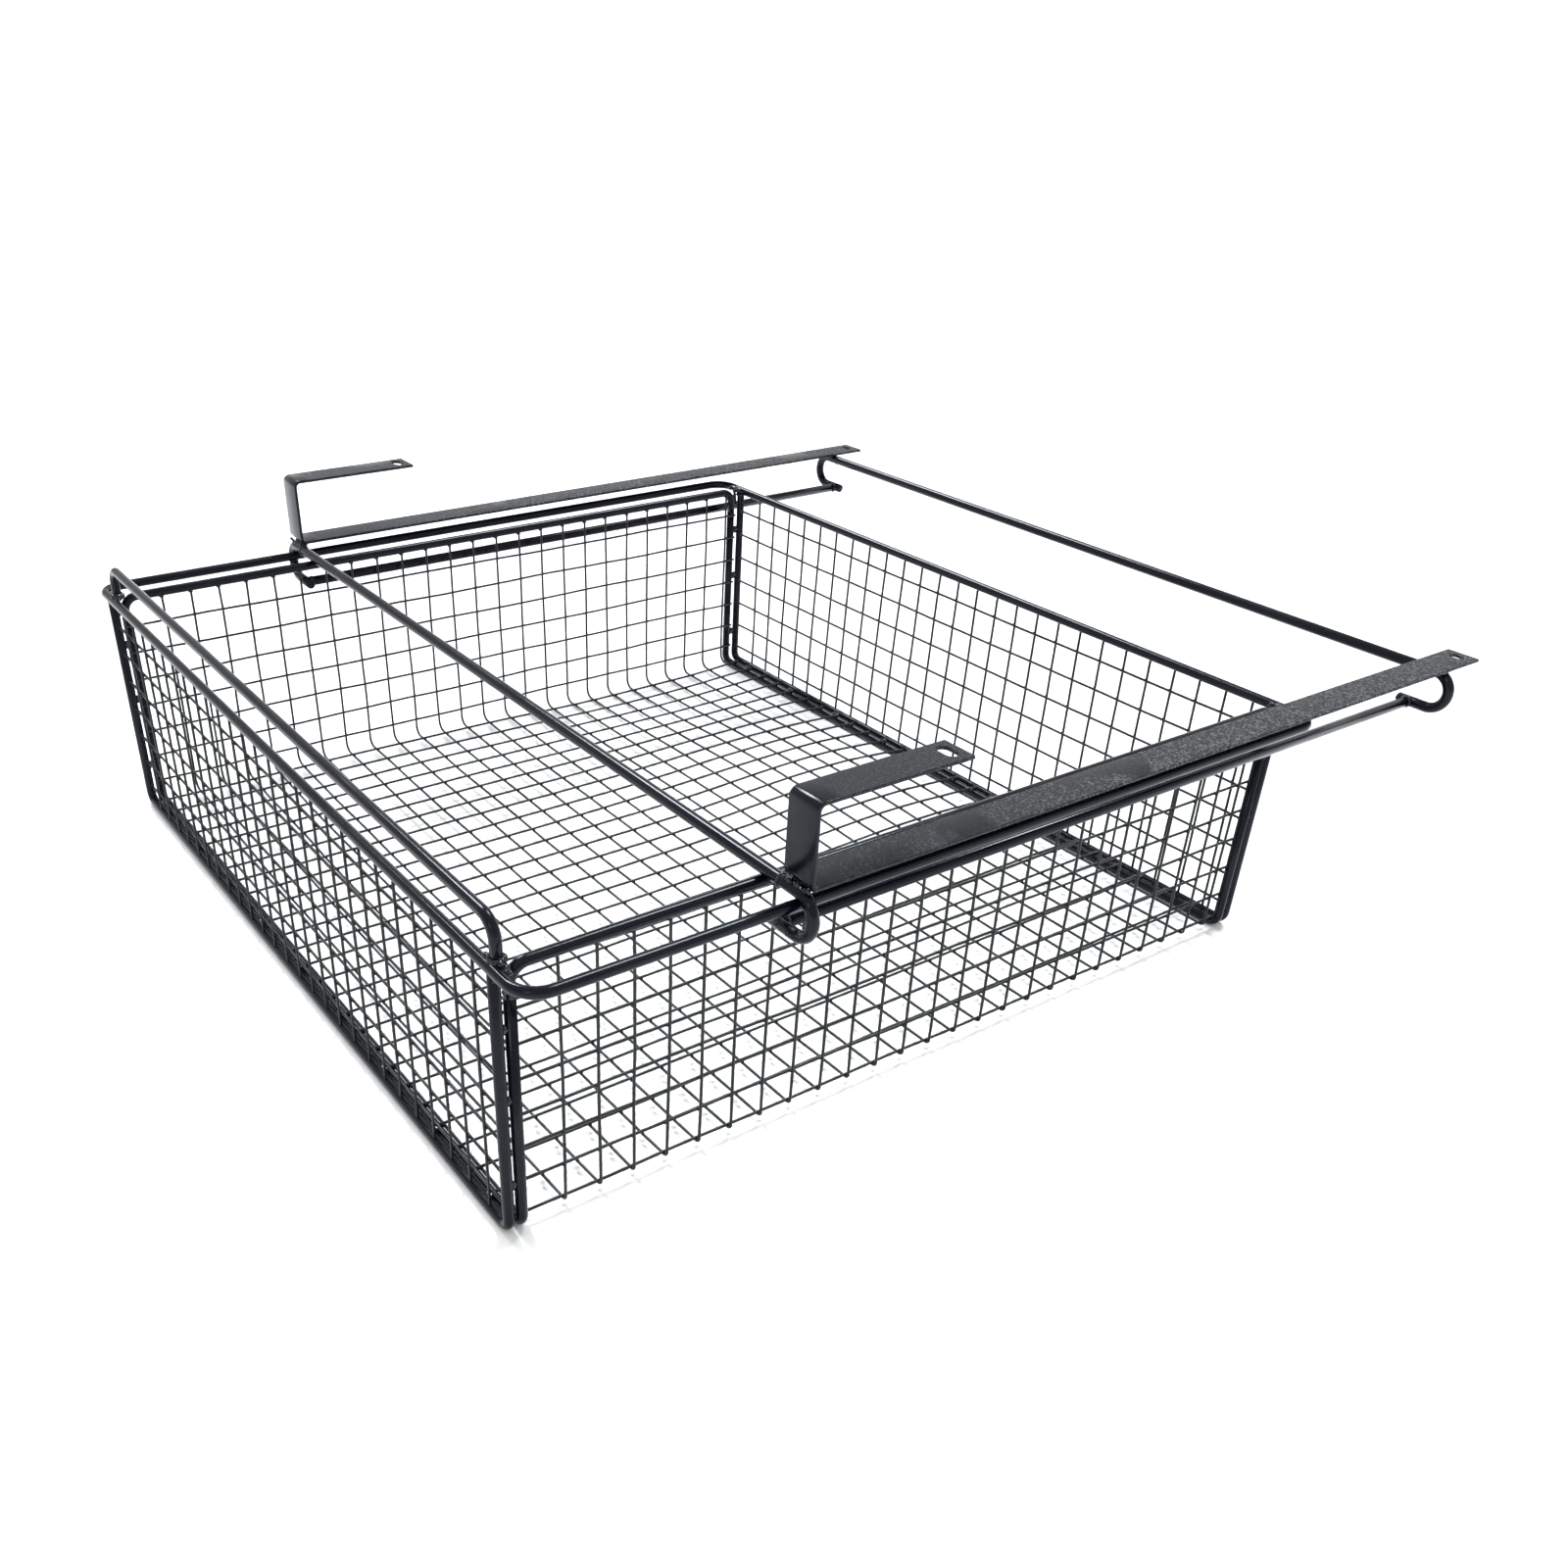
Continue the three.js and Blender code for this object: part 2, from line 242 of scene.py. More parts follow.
class Shells:
    """Collects closed shells and turns them into one piece."""

    def __init__(self):
        self.verts = []
        self.faces = []

    def add(self, verts, faces):
        base = len(self.verts)
        self.verts.extend(tuple(v) for v in verts)
        self.faces.extend(tuple(base + i for i in face) for face in faces)

    def tube(self, points, radius, sides, closed=False, chamfer=ROD_CHAMFER):
        """A round rod along a path. The ends of an open one are eased, or square if chamfer is 0."""
        points = [np.array(p, float) for p in points]
        rings = rod_rings(points, radius, sides, closed)
        if not closed and chamfer:
            ease = radius * chamfer
            first = unit(points[1] - points[0])
            last = unit(points[-1] - points[-2])
            start = [points[0] + (p - points[0]) * (1 - chamfer) for p in rings[0]]
            finish = [points[-1] + (p - points[-1]) * (1 - chamfer) for p in rings[-1]]
            rings[0] = [p + first * ease for p in rings[0]]
            rings[-1] = [p - last * ease for p in rings[-1]]
            rings = [start, *rings, finish]
        self.add(*skin(rings, closed))

    def blob(self, centre, radii, seed, rough, detail):
        """An uneven droplet, such as a spot of weld under its coat."""
        verts, faces = sphere(detail)
        shift = Vector((seed * 7.13, seed * 3.71, seed * 5.37))
        out = []
        for v in verts:
            swell = 1 + rough * noise.noise(Vector(v) * 1.7 + shift)
            out.append([centre[i] + v[i] * radii[i] * swell for i in range(3)])
        self.add(out, faces)

    def build(self, name, material, body, nodes=()):
        mesh = bpy.data.meshes.new(name)
        mesh.from_pydata(self.verts, [], self.faces)
        return finish_piece(name, mesh, material, body, nodes)


def turn_outward(mesh):
    bm = bmesh.new()
    bm.from_mesh(mesh)
    bmesh.ops.recalc_face_normals(bm, faces=bm.faces)
    bm.to_mesh(mesh)
    bm.free()


def link_object(name, data):
    thing = bpy.data.objects.new(name, data)
    bpy.context.scene.collection.objects.link(thing)
    return thing


def finish_piece(name, mesh, material, body, nodes=(), sharp=None):
    """Makes a mesh a piece of the visual model. Edges past `sharp` degrees stay crisp."""
    turn_outward(mesh)
    mesh.shade_smooth()
    if sharp is not None:
        mesh.set_sharp_from_angle(angle=math.radians(sharp))
    mesh.materials.append(material)
    piece = link_object(name, mesh)
    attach(piece, body)
    if nodes:
        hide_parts(*nodes)
    return piece


# ---------------------------------------------------------------- materials

NAVY = (0.0018, 0.0027, 0.0062)
SOOT = (0.005, 0.006, 0.009)
DUST = (0.03, 0.031, 0.033)
WIRE_DARK = (0.0035, 0.004, 0.005)
WIRE_PALE = (0.013, 0.0135, 0.0135)
GRIT_DARK = (0.0055, 0.0068, 0.0082)
# Painted shade: the flecks' colour at the strap's front end, where the run lies under the folded-back tab
FLECK_IN_SHADE = (0.026, 0.028, 0.030)
FLECK = (0.100, 0.101, 0.102)
# Smooth blue-black coat: the worn patches, and also painted shade on the riser's front face
SMOOTH_DARK = (0.0022, 0.003, 0.0065)
SMOOTH_PALE = (0.0045, 0.0055, 0.0095)
PAPER = (0.945, 0.945, 0.945)
PAPER_PALE = (0.96, 0.96, 0.96)
COOL_SHEEN = (0.92, 0.95, 1.0)


class Nodes:
    """A material's node tree with short ways to add and join nodes."""

    def __init__(self, name):
        self.material = bpy.data.materials.new(name)
        self.material.use_nodes = True
        self.tree = self.material.node_tree
        self.shader = self.tree.nodes["Principled BSDF"]
        self.place = self.tree.nodes.new("ShaderNodeTexCoord").outputs["Object"]

    def link(self, output, to):
        self.tree.links.new(output, to)

    def feed(self, **outputs):
        """Links node outputs to the shader's sockets: colour, roughness and normal."""
        sockets = {"colour": "Base Color", "roughness": "Roughness", "normal": "Normal"}
        for key, output in outputs.items():
            self.link(output, self.shader.inputs[sockets[key]])

    def sheen(self, level, tint=None):
        self.shader.inputs["Specular IOR Level"].default_value = level
        if tint:
            self.shader.inputs["Specular Tint"].default_value = (*tint, 1)

    def noise(self, scale, detail=2.0, roughness=0.5, distortion=0.0):
        node = self.tree.nodes.new("ShaderNodeTexNoise")
        node.inputs["Scale"].default_value = scale
        node.inputs["Detail"].default_value = detail
        node.inputs["Roughness"].default_value = roughness
        node.inputs["Distortion"].default_value = distortion
        self.link(self.place, node.inputs["Vector"])
        return node.outputs["Fac"]

    def along_y(self):
        axes = self.tree.nodes.new("ShaderNodeSeparateXYZ")
        self.link(self.place, axes.inputs["Vector"])
        return axes.outputs["Y"]

    def span(self, value, low, high, out_low=0.0, out_high=1.0):
        node = self.tree.nodes.new("ShaderNodeMapRange")
        node.interpolation_type = "SMOOTHSTEP"
        ends = (("From Min", low), ("From Max", high), ("To Min", out_low), ("To Max", out_high))
        for key, number in ends:
            node.inputs[key].default_value = number
        self.link(value, node.inputs["Value"])
        return node.outputs["Result"]

    def maths(self, operation, a, b):
        node = self.tree.nodes.new("ShaderNodeMath")
        node.operation = operation
        for socket, value in zip(node.inputs, (a, b)):
            if isinstance(value, (int, float)):
                socket.default_value = value
            else:
                self.link(value, socket)
        return node.outputs[0]

    def mix(self, amount, a, b):
        node = self.tree.nodes.new("ShaderNodeMix")
        node.data_type = "RGBA"
        self.link(amount, node.inputs["Factor"])
        for socket, value in ((node.inputs["A"], a), (node.inputs["B"], b)):
            if isinstance(value, tuple):
                socket.default_value = (*value, 1)
            else:
                self.link(value, socket)
        return node.outputs["Result"]

    def bump(self, height, distance, strength, over=None):
        node = self.tree.nodes.new("ShaderNodeBump")
        node.inputs["Distance"].default_value = distance
        node.inputs["Strength"].default_value = strength
        self.link(height, node.inputs["Height"])
        if over is not None:
            self.link(over, node.inputs["Normal"])
        return node.outputs["Normal"]


def glossy_coat(name, rough_low, rough_high, lumps, shine):
    """Blue-black powder coat that has flowed smooth: a faint orange peel, dusty patches."""
    n = Nodes(name)
    patches = n.span(n.noise(28, 3), 0.38, 0.68)
    dust = n.span(n.noise(900, 3, 0.6), 0.55, 0.78)
    coat = n.mix(patches, NAVY, SOOT)
    dusty = n.mix(n.maths("MULTIPLY", dust, 0.22), coat, DUST)
    worn = n.span(n.noise(45, 2), 0.35, 0.7, rough_low, rough_high)
    roughness = n.maths("ADD", worn, n.maths("MULTIPLY", dust, 0.08))
    peel = n.bump(n.noise(lumps, 2), 0.00009, 0.35)
    pores = n.bump(n.noise(2400, 2), 0.00002, 0.3, peel)
    n.feed(colour=dusty, roughness=roughness, normal=pores)
    n.shader.inputs["IOR"].default_value = 1.45
    n.sheen(shine, COOL_SHEEN)
    return n.material


def wire_coat():
    """The thinner coat on the mesh wires: satin, uneven from wire to wire."""
    n = Nodes("wire_coat")
    patches = n.span(n.noise(60, 3), 0.35, 0.7)
    roughness = n.span(n.noise(90, 2), 0.35, 0.7, 0.28, 0.5)
    grain = n.bump(n.noise(1500, 2), 0.00005, 0.5)
    n.feed(colour=n.mix(patches, WIRE_DARK, WIRE_PALE), roughness=roughness, normal=grain)
    n.sheen(0.3)
    return n.material


def strap_coat():
    """Gritty charcoal powder coat with smooth blue-black worn patches here and there. The fold and riser
    are painted smooth blue-black as well: partly worn coat at the bends, partly painted shade on the
    riser's front face. The grit's flecks are painted darker towards the front end, as painted shade under
    the folded-back tab.
    """
    n = Nodes("strap_coat")
    y = n.along_y()
    grain = n.noise(1000, 3, 0.6)
    speckle = n.span(grain, 0.48, 0.63)
    worn = n.span(n.noise(17, 3, 0.55, 0.7), 0.54, 0.61)
    # Painted shade: the riser and the fold, up to 16 mm back along the run and tab, get the smooth
    # blue-black colours; this is partly worn coat at the bends and partly painted shade on the riser's
    # front face
    fold_wear_and_riser_shade = n.span(y, strap_low.y + 4 * MM, strap_low.y + 16 * MM, 1.0, 0.0)
    rubbed_and_shaded = n.maths("MAXIMUM", n.maths("MULTIPLY", worn, 0.8), fold_wear_and_riser_shade)
    # Painted shade: the flecks darken over the first 60 mm towards the front end, standing in for shade on
    # the run under the folded-back tab; the tab top and the riser get it too
    front_shade_fade = n.span(y, strap_low.y, 60 * MM)
    shaded_flecks = n.mix(front_shade_fade, FLECK_IN_SHADE, FLECK)
    gritty = n.mix(speckle, GRIT_DARK, shaded_flecks)
    smooth = n.mix(speckle, SMOOTH_DARK, SMOOTH_PALE)
    depth = n.maths("MULTIPLY", grain, n.span(rubbed_and_shaded, 0, 1, 1.0, 0.25))
    n.feed(
        colour=n.mix(rubbed_and_shaded, gritty, smooth),
        roughness=n.span(rubbed_and_shaded, 0, 1, 0.55, 0.17),
        normal=n.bump(depth, 0.0002, 0.6),
    )
    n.sheen(0.2, COOL_SHEEN)
    return n.material


def floor_paper():
    n = Nodes("floor_paper")
    n.feed(colour=n.mix(n.noise(3, 2), PAPER, PAPER_PALE))
    n.shader.inputs["Roughness"].default_value = 0.8
    n.sheen(0.1)
    return n.material


ROD_COAT = glossy_coat("rod_coat", 0.11, 0.21, 420, 0.21)
WELD_COAT = glossy_coat("weld_coat", 0.07, 0.15, 900, 0.5)
WIRE_COAT = wire_coat()
STRAP_COAT = strap_coat()


# ---------------------------------------------------------------- basket rods


def rod_piece(node, points, radius, body, closed=False, chamfer=ROD_CHAMFER):
    """The round rod that takes a CAD rod's place."""
    shells = Shells()
    shells.tube(points, radius, ROD_SIDES, closed, chamfer)
    return shells.build(f"{node}_rod", ROD_COAT, body, [node])


def end_hoop(node, left_y, right_y, top, chamfer=ROD_CHAMFER):
    corners = [
        (-POST_X, left_y, top),
        (-POST_X, left_y, BAR_Z),
        (POST_X, right_y, BAR_Z),
        (POST_X, right_y, top),
    ]
    rod_piece(node, round_path(corners, HOOP_BEND), ROD_R, "basket", chamfer=chamfer)


def side_rim(side, x):
    corners = [
        (x, FRONT_SHEET_Y, JOIN_Z),
        (x, FRONT_SHEET_Y, RING_Z),
        (x, REAR_SHEET_Y[side], RING_Z),
        (x, REAR_SHEET_Y[side], JOIN_Z),
    ]
    rod_piece(f"side_rim_{side}", round_path(corners, RIM_BEND), ROD_R, "basket", chamfer=0)


def guide_ring():
    corners = [
        (-GUIDE_X, FRONT_Y, RING_Z),
        (GUIDE_X, FRONT_Y, RING_Z),
        (GUIDE_X, REAR_Y, RING_Z),
        (-GUIDE_X, REAR_Y, RING_Z),
    ]
    rod_piece("guide_ring", round_path(corners, RING_BEND, 14, True), ROD_R, "basket", True)


def handle_loop():
    corners = [
        (-HANDLE_X, HANDLE_Y, RING_Z),
        (-HANDLE_X, HANDLE_Y, HANDLE_Z),
        (HANDLE_X, HANDLE_Y, HANDLE_Z),
        (HANDLE_X, HANDLE_Y, RING_Z),
    ]
    rod_piece("handle_loop", round_path(corners, HANDLE_BEND, 12), ROD_R, "basket")


end_hoop("front_panel_hoop", FRONT_Y, FRONT_Y, RING_Z)
end_hoop("rear_panel_hoop", REAR_Y, REAR_Y, RING_Z)
# The sheet hoops' posts run on into the side rims, so those ends meet square
end_hoop("front_sheet_hoop", FRONT_SHEET_Y, FRONT_SHEET_Y, JOIN_Z, 0)
end_hoop("rear_sheet_hoop", REAR_SHEET_Y["left"], REAR_SHEET_Y["right"], JOIN_Z, 0)
for side, s in SIDES:
    side_rim(side, s * POST_X)
guide_ring()
handle_loop()


# ---------------------------------------------------------------- basket mesh

WIRE_R = 0.65 * MM
GRID = 15 * MM
WALL_ROW_COUNT = 7
FAR_BEND = 5 * MM                   # the sheet's fold at the left wall
NEAR_BEND = 1.8 * MM                # and at the right wall
RIGHT_ROW_RISE = 2.5 * MM           # how much the right wall's rows climb towards the handle
WIRE_STEP = 14 * MM
ROW_END = 1.6 * MM                  # how far a row's end passes the middle of its hoop
SPOT_ROUGH = 0.25

# The floor's crown and sag
CROWN = {"height": 4.0 * MM, "place": mm(-20, 75), "reach": mm(95, 75)}
SAG = {"height": 2.9 * MM, "place": mm(-192, 50), "reach": mm(75, 95)}
EDGE_DROP = 0.9 * MM
EDGE_REACH = 40 * MM
HELD_REACH = 38 * MM                # how near the rear hoop the floor is held flatter

BOW_AT_WALL = 0.8 * MM
BOW_DEPTH = 2.8 * MM
LEAN = 2.2 * MM
LEAN_X = -60 * MM
LEAN_REACH = 90 * MM


def ladder(first, pitch, count):
    """Evenly spaced places."""
    return [first + pitch * k for k in range(count)]


WALL_WIRE_X = wall_high.x - WIRE_R
WALL_ROW_X = wall_low.x + WIRE_R
FLOOR_WIRE_Z = floor_low.z + WIRE_R
FLOOR_ROW_Z = floor_high.z - WIRE_R
BENT_WIRE_YS = ladder(FRONT_Y + 24 * MM, GRID, 25)
RIGHT_ROWS = ladder(107.65 * MM, -15.05 * MM, WALL_ROW_COUNT)
LEFT_ROWS = ladder(13.2 * MM, 14.5 * MM, WALL_ROW_COUNT)
FLOOR_ROWS = ladder(185.75 * MM, -15.1 * MM, 26)
UPRIGHT_XS = ladder(-184.5 * MM, GRID, 26)

rng = random.Random(7)


def hump(value, centre, width):
    return math.exp(-(((value - centre) / width) ** 2))


def mound(x, y, height, place, reach):
    return height * hump(x, place[0], reach[0]) * hump(y, place[1], reach[1])


def floor_lift(x, y):
    """How far the springy floor stands above (or sags below) its drawn height."""
    near_edge = EDGE_DROP * hump(x, POST_X, EDGE_REACH)
    held = min(1.0, max(0.0, (REAR_SHEET_Y["left"] - y) / HELD_REACH))
    return (mound(x, y, **CROWN) - mound(x, y, **SAG)) * math.sqrt(held) - near_edge


def bow(x):
    """How far a bent wire leans towards the handle on its way across the floor."""
    return BOW_AT_WALL - BOW_DEPTH * (1 - (x / WALL_WIRE_X) ** 2)


def wander(amount):
    """Slow sideways drift of a wire that was never quite straight."""
    phases = [rng.uniform(0, 2 * math.pi) for _ in range(2)]
    lengths = [rng.uniform(0.09, 0.16), rng.uniform(0.035, 0.06)]
    sizes = [amount * rng.uniform(0.4, 1), amount * rng.uniform(0.1, 0.4)]
    waves = list(zip(sizes, lengths, phases))
    return lambda t: sum(size * math.sin(2 * math.pi * t / length + phase) for size, length, phase in waves)


def spot(spots, centre, radii):
    """A flattened bead where two crossing wires were welded."""
    spots.blob(centre, radii, rng.uniform(0, 50), SPOT_ROUGH, SPOT_DETAIL)


def bent_wire_points(y):
    """Down the left wall, across the floor and up the right wall."""
    top = RING_Z - 0.9 * MM
    wall = WALL_WIRE_X
    left_z = FLOOR_WIRE_Z + floor_lift(-wall, y)
    right_z = FLOOR_WIRE_Z + floor_lift(wall, y)
    far_turn = round_path([(-wall, y, top), (-wall, y, left_z), (0, y, left_z)], FAR_BEND, 6)
    near_turn = round_path([(0, y, right_z), (wall, y, right_z), (wall, y, top)], NEAR_BEND, 5)
    moved = []
    for x, _, z in resample(far_turn[:-1] + near_turn[1:], WIRE_STEP):
        if abs(x) < wall - FAR_BEND:
            z = FLOOR_WIRE_Z + floor_lift(x, y)
        moved.append(np.array([x, y + bow(x), z]))
    return moved


def bent_wires(sheet):
    """Adds the wires that run from rim to rim, and returns how each one drifts."""
    drifts = []
    for y in BENT_WIRE_YS:
        drift = wander(0.3 * MM)
        drifts.append(drift)
        points = [p + np.array([0, drift(p[0] + p[2]), 0]) for p in bent_wire_points(y)]
        sheet.tube(points, WIRE_R, WIRE_SIDES)
    return drifts


def bent_wire_y(drifts, i, x, z):
    return BENT_WIRE_YS[i] + bow(x) + drifts[i](x + z)


def row_place(x, z, on_wall, start, end, drift):
    """The point of a row at each y."""

    def on_wall_at(y):
        rise = RIGHT_ROW_RISE * (end - y) / (end - start) if x > 0 else 0.0
        return np.array([x, y, z + rise + drift(y)])

    def on_floor_at(y):
        return np.array([x + drift(y), y, z + floor_lift(x, y)])

    return on_wall_at if on_wall else on_floor_at


def row_wire(sheet, spots, drifts, x, z, on_wall):
    """A wire from the front hoop to the rear hoop, welded to every bent wire and to both hoops."""
    side = "right" if x > 0 else "left"
    start = FRONT_SHEET_Y - ROW_END
    end = REAR_SHEET_Y[side] + ROW_END
    place = row_place(x, z, on_wall, start, end, wander(0.35 * MM))
    line = straight([0, start, 0], [0, end, 0], WIRE_STEP)
    sheet.tube([place(p[1]) for p in line], WIRE_R, WIRE_SIDES)
    if on_wall:
        outward = np.array([math.copysign(WIRE_R, x), 0, 0])
        radii = mm(0.75, 0.95, 0.95)
    else:
        outward = np.array([0, 0, -WIRE_R])
        radii = mm(0.95, 0.95, 0.75)
    for i in range(len(BENT_WIRE_YS)):
        spot(spots, place(bent_wire_y(drifts, i, x, z)) + outward, radii)
    for hoop_y in (FRONT_SHEET_Y, REAR_SHEET_Y[side]):
        spot(spots, place(hoop_y) + np.array([0, 0, -0.3 * MM]), mm(0.9, 1.1, 0.5))


def rim_spots(spots, drifts):
    """Where the bent wires end under the side rims."""
    under = RING_Z - ROD_R
    for i in range(len(BENT_WIRE_YS)):
        for s in (-1, 1):
            x = s * WALL_WIRE_X
            y = bent_wire_y(drifts, i, x, under)
            spot(spots, (x + s * 0.4 * MM, y, under + 0.3 * MM), mm(0.9, 1.5, 1.1))


def sheet_mesh(spots):
    """The floor and both side walls, which are one bent sheet."""
    sheet = Shells()
    drifts = bent_wires(sheet)
    rows = [(WALL_ROW_X, z, True) for z in RIGHT_ROWS]
    rows.append((WALL_ROW_X - 0.3 * MM, FLOOR_ROW_Z, False))
    rows += [(x, FLOOR_ROW_Z, False) for x in FLOOR_ROWS]
    rows += [(-WALL_ROW_X, z, True) for z in LEFT_ROWS]
    for x, z, on_wall in rows:
        row_wire(sheet, spots, drifts, x, z, on_wall)
    rim_spots(spots, drifts)
    nodes = ["mesh_floor", "mesh_wall_left", "mesh_wall_right"]
    sheet.build("side_and_floor_mesh", WIRE_COAT, "basket", nodes)


def upright(x, z):
    return 0.0


def rear_lean(x, z):
    """The rear panel's uprights lean at the left of its middle."""
    middle = (RING_Z + BAR_Z) / 2
    return LEAN * hump(x, LEAN_X, LEAN_REACH) * (z - middle) / (middle - BAR_Z)


def panel_mesh(spots, end, upright_y, row_y, low_row, lean):
    """A flat panel: uprights between the two bars of its hoop and rim, rows between its posts."""
    panel = Shells()
    low = BAR_Z + ROD_R - 0.7 * MM
    high = RING_Z - ROD_R + 0.7 * MM
    row_zs = ladder(low_row, GRID, WALL_ROW_COUNT)
    for x in UPRIGHT_XS:
        drift = wander(0.25 * MM)
        line = straight([x, upright_y, low], [x, upright_y, high], WIRE_STEP)
        points = [p + np.array([drift(p[2]) + lean(x, p[2]), 0, 0]) for p in line]
        panel.tube(points, WIRE_R, WIRE_SIDES)
        for z in row_zs:
            at = (x + drift(z) + lean(x, z), (upright_y + row_y) / 2, z)
            spot(spots, at, mm(0.95, 0.75, 0.95))
        for z in (low, high):
            spot(spots, (x + drift(z) + lean(x, z), upright_y, z), mm(0.9, 0.8, 0.5))
    half = POST_X - 1.2 * MM
    for z in row_zs:
        drift = wander(0.2 * MM)
        line = straight([-half, row_y, z], [half, row_y, z], WIRE_STEP)
        panel.tube([p + np.array([0, 0, drift(p[0])]) for p in line], WIRE_R, WIRE_SIDES)
        for s in (-1, 1):
            spot(spots, (s * (POST_X - ROD_R + 0.2 * MM), row_y, z), mm(1.0, 1.1, 1.4))
    panel.build(f"{end}_panel_mesh", WIRE_COAT, "basket", [f"mesh_{end}_panel"])


mesh_spots = Shells()
sheet_mesh(mesh_spots)
panel_mesh(
    mesh_spots, "front", front_panel_low.y + WIRE_R, front_panel_high.y - WIRE_R, 10.5 * MM, upright
)
panel_mesh(
    mesh_spots, "rear", rear_panel_high.y - WIRE_R, rear_panel_low.y + WIRE_R, 11.7 * MM, rear_lean
)
mesh_spots.build("mesh_weld_spots", WIRE_COAT, "basket")


# ---------------------------------------------------------------- hanger rods

HOOK_STEPS = 24


def cross_rod(node, y):
    """A rod across the frame, with each end curled out, down and back in."""
    bend = (ROD_Z - LEDGE_Z) / 2
    half = []
    for k in range(HOOK_STEPS + 1):
        angle = math.pi * k / HOOK_STEPS
        half.append((HOOK_X - bend + bend * math.sin(angle), ROD_Z - bend + bend * math.cos(angle)))
    half.append((HOOK_X - bend - HOOK_LEG, LEDGE_Z))
    points = [(-x, y, z) for x, z in reversed(half)] + [(x, y, z) for x, z in half]
    rod_piece(node, points, FRAME_R, "hanger")


cross_rod("cross_rod_front", FRONT_ROD_Y)
cross_rod("cross_rod_rear", REAR_ROD_Y)
for side, s in SIDES:
    ledge_ends = [(s * LEDGE_X, FRONT_ROD_Y, LEDGE_Z), (s * LEDGE_X, REAR_ROD_Y, LEDGE_Z)]
    rod_piece(f"ledge_rod_{side}", ledge_ends, FRAME_R, "hanger")


# ---------------------------------------------------------------- straps

STRAP_EASE = 0.35 * MM
STRAP_END_EASE = 0.25 * MM
STRAP_STEP = 12 * MM
STRAP_SHARP = 30                    # degrees
SLOT_FLARE = 0.22 * MM
SLOT_OVERRUN = 1 * MM


def strap_section():
    """The strap's cross-section: a flat bar with rounded edges, as (across, through) pairs."""
    half_w = STRAP_WIDTH / 2 - STRAP_EASE
    half_t = STRAP_T / 2 - STRAP_EASE
    section = []
    for cx, cz, start in (
        (half_w, half_t, 0),
        (-half_w, half_t, 90),
        (-half_w, -half_t, 180),
        (half_w, -half_t, 270),
    ):
        for step in range(4):
            angle = math.radians(start + 30 * step)
            section.append((cx + STRAP_EASE * math.cos(angle), cz + STRAP_EASE * math.sin(angle)))
    return section


def strap_mesh(x_middle):
    """A flat bar with eased edges, folded up and back over itself."""
    run_z = strap_low.z + STRAP_T / 2
    tab_z = strap_high.z - STRAP_T / 2
    riser_y = strap_low.y + STRAP_T / 2
    corners = [
        (x_middle, strap_high.y, run_z),
        (x_middle, riser_y, run_z),
        (x_middle, riser_y, tab_z),
        (x_middle, strap_low.y + TAB_LENGTH, tab_z),
    ]
    line = resample(round_path(corners, STRAP_BEND), STRAP_STEP)
    section = strap_section()
    across = np.array([1.0, 0, 0])
    rings = []
    for p, (ins, outs) in zip(line, path_ways(line)):
        normal = np.cross(unit(ins + outs), across) * mitre(ins, outs)
        rings.append([p + across * a + normal * b for a, b in section])
    shrink = np.array([1 - STRAP_END_EASE / (STRAP_WIDTH / 2), 1, 1 - STRAP_END_EASE / (STRAP_T / 2)])
    for end, inner in ((0, 1), (-1, -2)):
        centre = line[end]
        along = unit(line[inner] - centre)
        small = [centre + (p - centre) * shrink for p in rings[end]]
        rings[end] = [p + along * STRAP_END_EASE for p in rings[end]]
        rings.insert(0 if end == 0 else len(rings), small)
    verts, faces = skin(rings)
    mesh = bpy.data.meshes.new("strap")
    mesh.from_pydata(verts, [], faces)
    turn_outward(mesh)
    return mesh


def slot_cutter(size, x, y, z_low):
    """A stadium whose rims flare, so that the cut edge is eased."""
    z_high = z_low + STRAP_T
    levels = [
        (z_low - SLOT_OVERRUN, SLOT_OVERRUN + SLOT_FLARE),
        (z_low, SLOT_FLARE),
        (z_low + SLOT_FLARE, 0),
        (z_high - SLOT_FLARE, 0),
        (z_high, SLOT_FLARE),
        (z_high + SLOT_OVERRUN, SLOT_OVERRUN + SLOT_FLARE),
    ]
    half_straight = (size[0] - size[1]) / 2
    rings = []
    for z, grow in levels:
        radius = size[1] / 2 + grow
        ring = []
        for centre, start in ((half_straight, -90), (-half_straight, 90)):
            for step in range(13):
                angle = math.radians(start + 15 * step)
                ring.append((x + centre + radius * math.cos(angle), y + radius * math.sin(angle), z))
        rings.append(ring)
    verts, faces = skin(rings)
    mesh = bpy.data.meshes.new("slot_cutter")
    mesh.from_pydata(verts, [], faces)
    return link_object("slot_cutter", mesh)


def cut_away(blank, cutters):
    """The blank's mesh with the cutters taken out of it. The blank and the cutters are removed."""
    for cutter in cutters:
        cut = blank.modifiers.new("slot", "BOOLEAN")
        cut.operation = "DIFFERENCE"
        cut.solver = "EXACT"
        cut.object = cutter
    graph = bpy.context.evaluated_depsgraph_get()
    mesh = bpy.data.meshes.new_from_object(blank.evaluated_get(graph))
    for thing in (blank, *cutters):
        bpy.data.objects.remove(thing)
    return mesh


for side, s in SIDES:
    x = s * STRAP_X
    blank = link_object("strap_blank", strap_mesh(x))
    tab_slot = slot_cutter(TAB_SLOT, x, strap_low.y + TAB_LENGTH - SLOT_FROM_END, strap_high.z - STRAP_T)
    rear_slot = slot_cutter(REAR_SLOT, x, strap_high.y - SLOT_FROM_END, strap_low.z)
    mesh = cut_away(blank, [tab_slot, rear_slot])
    finish_piece(f"strap_{side}_bar", mesh, STRAP_COAT, "hanger", [f"strap_{side}"], STRAP_SHARP)


# ---------------------------------------------------------------- welds

